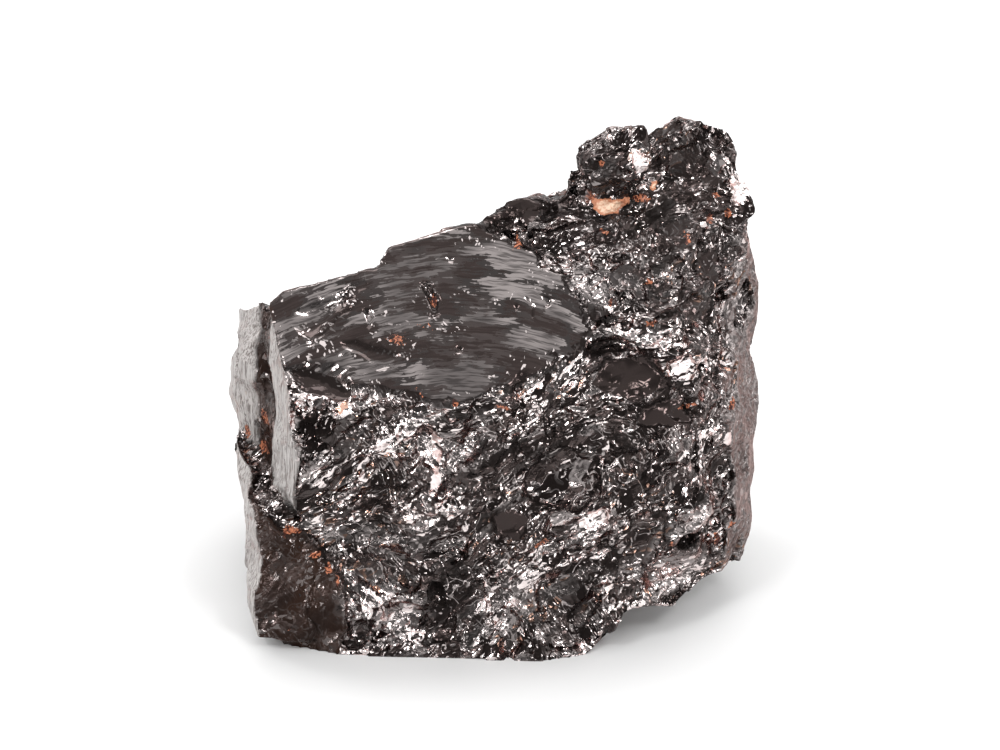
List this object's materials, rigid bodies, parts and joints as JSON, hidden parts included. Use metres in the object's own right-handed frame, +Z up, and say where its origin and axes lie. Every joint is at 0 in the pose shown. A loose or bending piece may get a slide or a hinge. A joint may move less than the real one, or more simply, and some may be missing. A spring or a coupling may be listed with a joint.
{
  "type": "elite shungite stone",
  "caption": "Rough broken lump of black glassy shungite with a sloping smooth face, a blunt peak and a flat underside to rest on.",
  "frame": {"origin": "middle of the footprint box, on the surface that the stone rests on", "axes": "+Z up; -Y towards the steep rough front below the smooth face; +X towards the end with the peak"},
  "size_m": [0.0492, 0.0336, 0.0433],
  "materials": {
    "black_stone": "glassy black break with small bright facets, rust stains and a cream mineral patch"
  },
  "bodies": {
    "root": {"shungite": "black_stone"}
  },
  "joints": []
}
